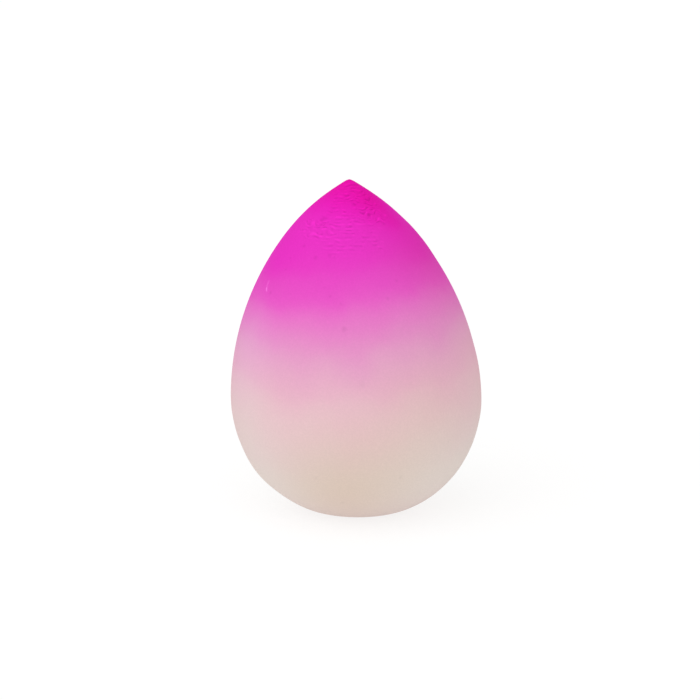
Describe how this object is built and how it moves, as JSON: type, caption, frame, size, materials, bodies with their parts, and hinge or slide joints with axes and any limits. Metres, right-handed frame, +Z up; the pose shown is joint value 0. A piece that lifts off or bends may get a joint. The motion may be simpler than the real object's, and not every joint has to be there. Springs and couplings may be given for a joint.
{
  "type": "makeup sponge",
  "caption": "Teardrop makeup sponge of soft open-cell foam with a pointed tip and a rounded base, dyed magenta from the tip and fading through pink to undyed cream.",
  "frame": {"origin": "centre of the flat that the sponge stands on, in the plane of the surface under it", "axes": "+Z up from the flat towards the tip, which leans slightly towards -X; the pictured front faces -Y"},
  "size_m": [0.0445, 0.0444, 0.06],
  "materials": {
    "dyed_foam": "matte open-cell polyurethane foam, dip-dyed from magenta at the tip to undyed cream at the base"
  },
  "bodies": {
    "root": {"foam_body": "dyed_foam"}
  },
  "joints": []
}
